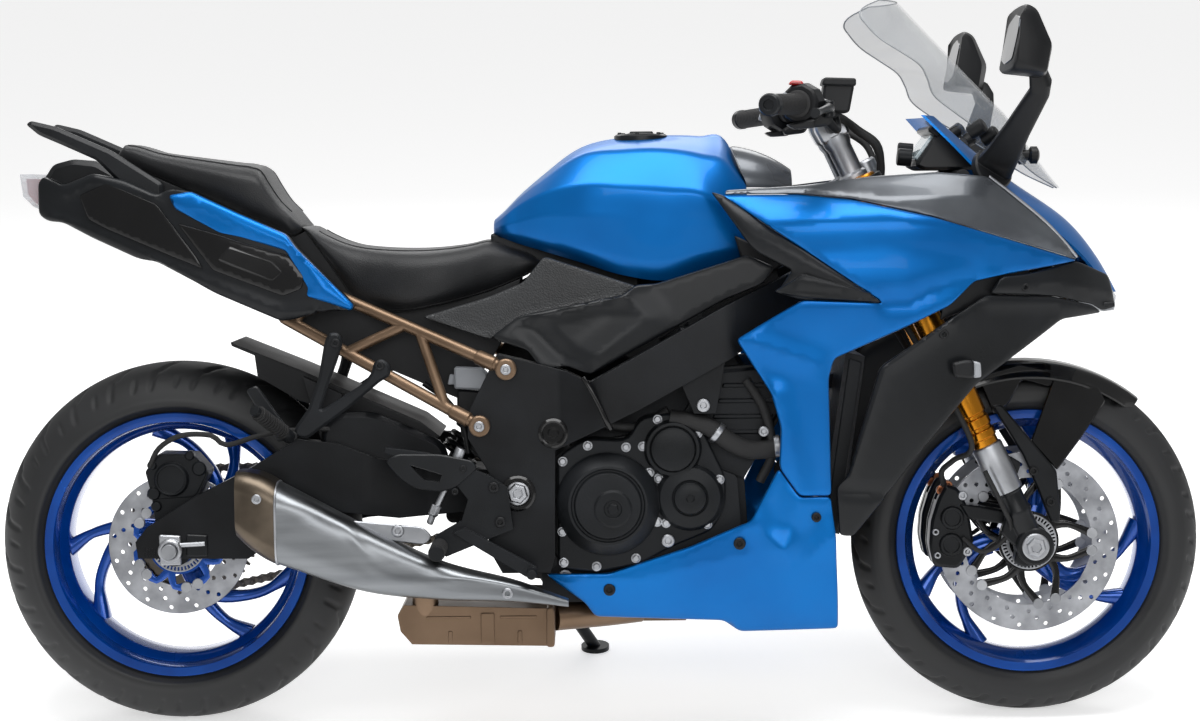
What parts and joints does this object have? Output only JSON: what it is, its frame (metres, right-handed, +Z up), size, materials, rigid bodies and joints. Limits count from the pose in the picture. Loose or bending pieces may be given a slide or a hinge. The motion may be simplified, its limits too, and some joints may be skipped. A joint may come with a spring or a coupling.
{
  "type": "sport touring motorcycle",
  "caption": "Faired sport touring motorcycle leaning on its side stand, with chain drive, upright fork, twin seats and a low muffler on the right.",
  "frame": {"origin": "middle of the bounding box, on the ground", "axes": "+X forward, +Y to the rider's left, +Z up; the motorcycle leans to its left onto the stand"},
  "size_m": [2.0708, 0.8636, 1.2446],
  "materials": {
    "tyre_front": "matte",
    "rim_blue": "gloss",
    "disc_steel": "brushed",
    "tyre_rear": "matte",
    "sprocket_steel": "brushed",
    "fork_gold": "anodised",
    "slider_alloy": "satin",
    "black_alloy": "satin",
    "bar_alloy": "satin",
    "control_black": "matte",
    "fender_black": "satin",
    "caliper_black": "satin",
    "axle_steel": "satin",
    "stand_black": "satin",
    "frame_black": "satin",
    "guard_black": "satin",
    "shock_black": "satin",
    "chain_steel": "oiled",
    "engine_black": "satin",
    "radiator_black": "matte",
    "exhaust_steel": "heat tinted",
    "exhaust_bronze": "satin",
    "muffler_steel": "brushed",
    "muffler_cap": "satin",
    "subframe_bronze": "satin",
    "tray_black": "matte",
    "trim_black": "satin",
    "paint_blue": "gloss",
    "lamp_frosted": "frosted",
    "seat_vinyl": "grained",
    "rail_black": "satin",
    "tank_blue": "gloss",
    "lamp_lens": "clear lens",
    "cover_textured": "textured",
    "cover_grey": "satin",
    "screen_clear": "clear",
    "stay_black": "satin",
    "dash_black": "gloss",
    "rest_alloy": "satin"
  },
  "bodies": {
    "chassis": {"main_frame": "frame_black", "swingarm": "frame_black", "rear_axle": "axle_steel", "rear_caliper": "caliper_black", "hugger": "guard_black", "rear_shock": "shock_black", "chain": "chain_steel", "engine_block": "engine_black", "engine_covers": "engine_black", "radiator": "radiator_black", "exhaust_headers": "exhaust_steel", "exhaust_chamber": "exhaust_bronze", "muffler": "muffler_steel", "muffler_cap": "muffler_cap", "subframe": "subframe_bronze", "seat_tray": "tray_black", "tail_cowl": "trim_black", "tail_stripes": "paint_blue", "tail_lamp": "lamp_frosted", "rider_seat": "seat_vinyl", "pillion_seat": "seat_vinyl", "grab_rails": "rail_black", "fuel_tank": "tank_blue", "tank_front_cover": "trim_black", "fairing_inserts": "trim_black", "front_indicators": "lamp_lens", "side_covers": "cover_textured", "knee_panels": "trim_black", "fairing_sides": "paint_blue", "lower_cowls": "paint_blue", "fork_panels": "trim_black", "lamp_surround": "trim_black", "top_covers": "cover_grey", "nose_cowl": "paint_blue", "windscreen": "screen_clear", "headlamp": "lamp_lens", "fairing_stay": "stay_black", "dash": "dash_black", "mirrors": "trim_black", "rider_footrests": "rest_alloy", "pillion_footrests": "rest_alloy"},
    "front_wheel": {"front_tyre": "tyre_front", "front_rim": "rim_blue", "front_discs": "disc_steel"},
    "rear_wheel": {"rear_tyre": "tyre_rear", "rear_rim": "rim_blue", "rear_disc": "disc_steel", "rear_sprocket": "sprocket_steel"},
    "steering": {"fork_tubes": "fork_gold", "fork_sliders": "slider_alloy", "yokes": "black_alloy", "handlebar": "bar_alloy", "controls": "control_black", "front_fender": "fender_black", "front_calipers": "caliper_black", "front_axle": "axle_steel"},
    "side_stand": {"side_stand": "stand_black"}
  },
  "joints": [
    {"name": "steering", "type": "hinge", "parent": "chassis", "child": "steering", "pos_m": [0.45514, -0.0428, 0.80253], "axis": [-0.4226, 0.1729, 0.8897], "range_deg": [-30, 30]},
    {"name": "front_wheel_spin", "type": "hinge", "parent": "steering", "child": "front_wheel", "pos_m": [0.7355, -0.1412, 0.29633], "axis": [0, 0.9816, -0.1908], "continuous": true},
    {"name": "rear_wheel_spin", "type": "hinge", "parent": "chassis", "child": "rear_wheel", "pos_m": [-0.7245, -0.1391, 0.30712], "axis": [0, 0.9816, -0.1908], "continuous": true},
    {"name": "side_stand_swing", "type": "hinge", "parent": "chassis", "child": "side_stand", "pos_m": [-0.1165, 0.01543, 0.20068], "axis": [-0.214, 0.9762, -0.0359], "range_deg": [0, 100]}
  ]
}
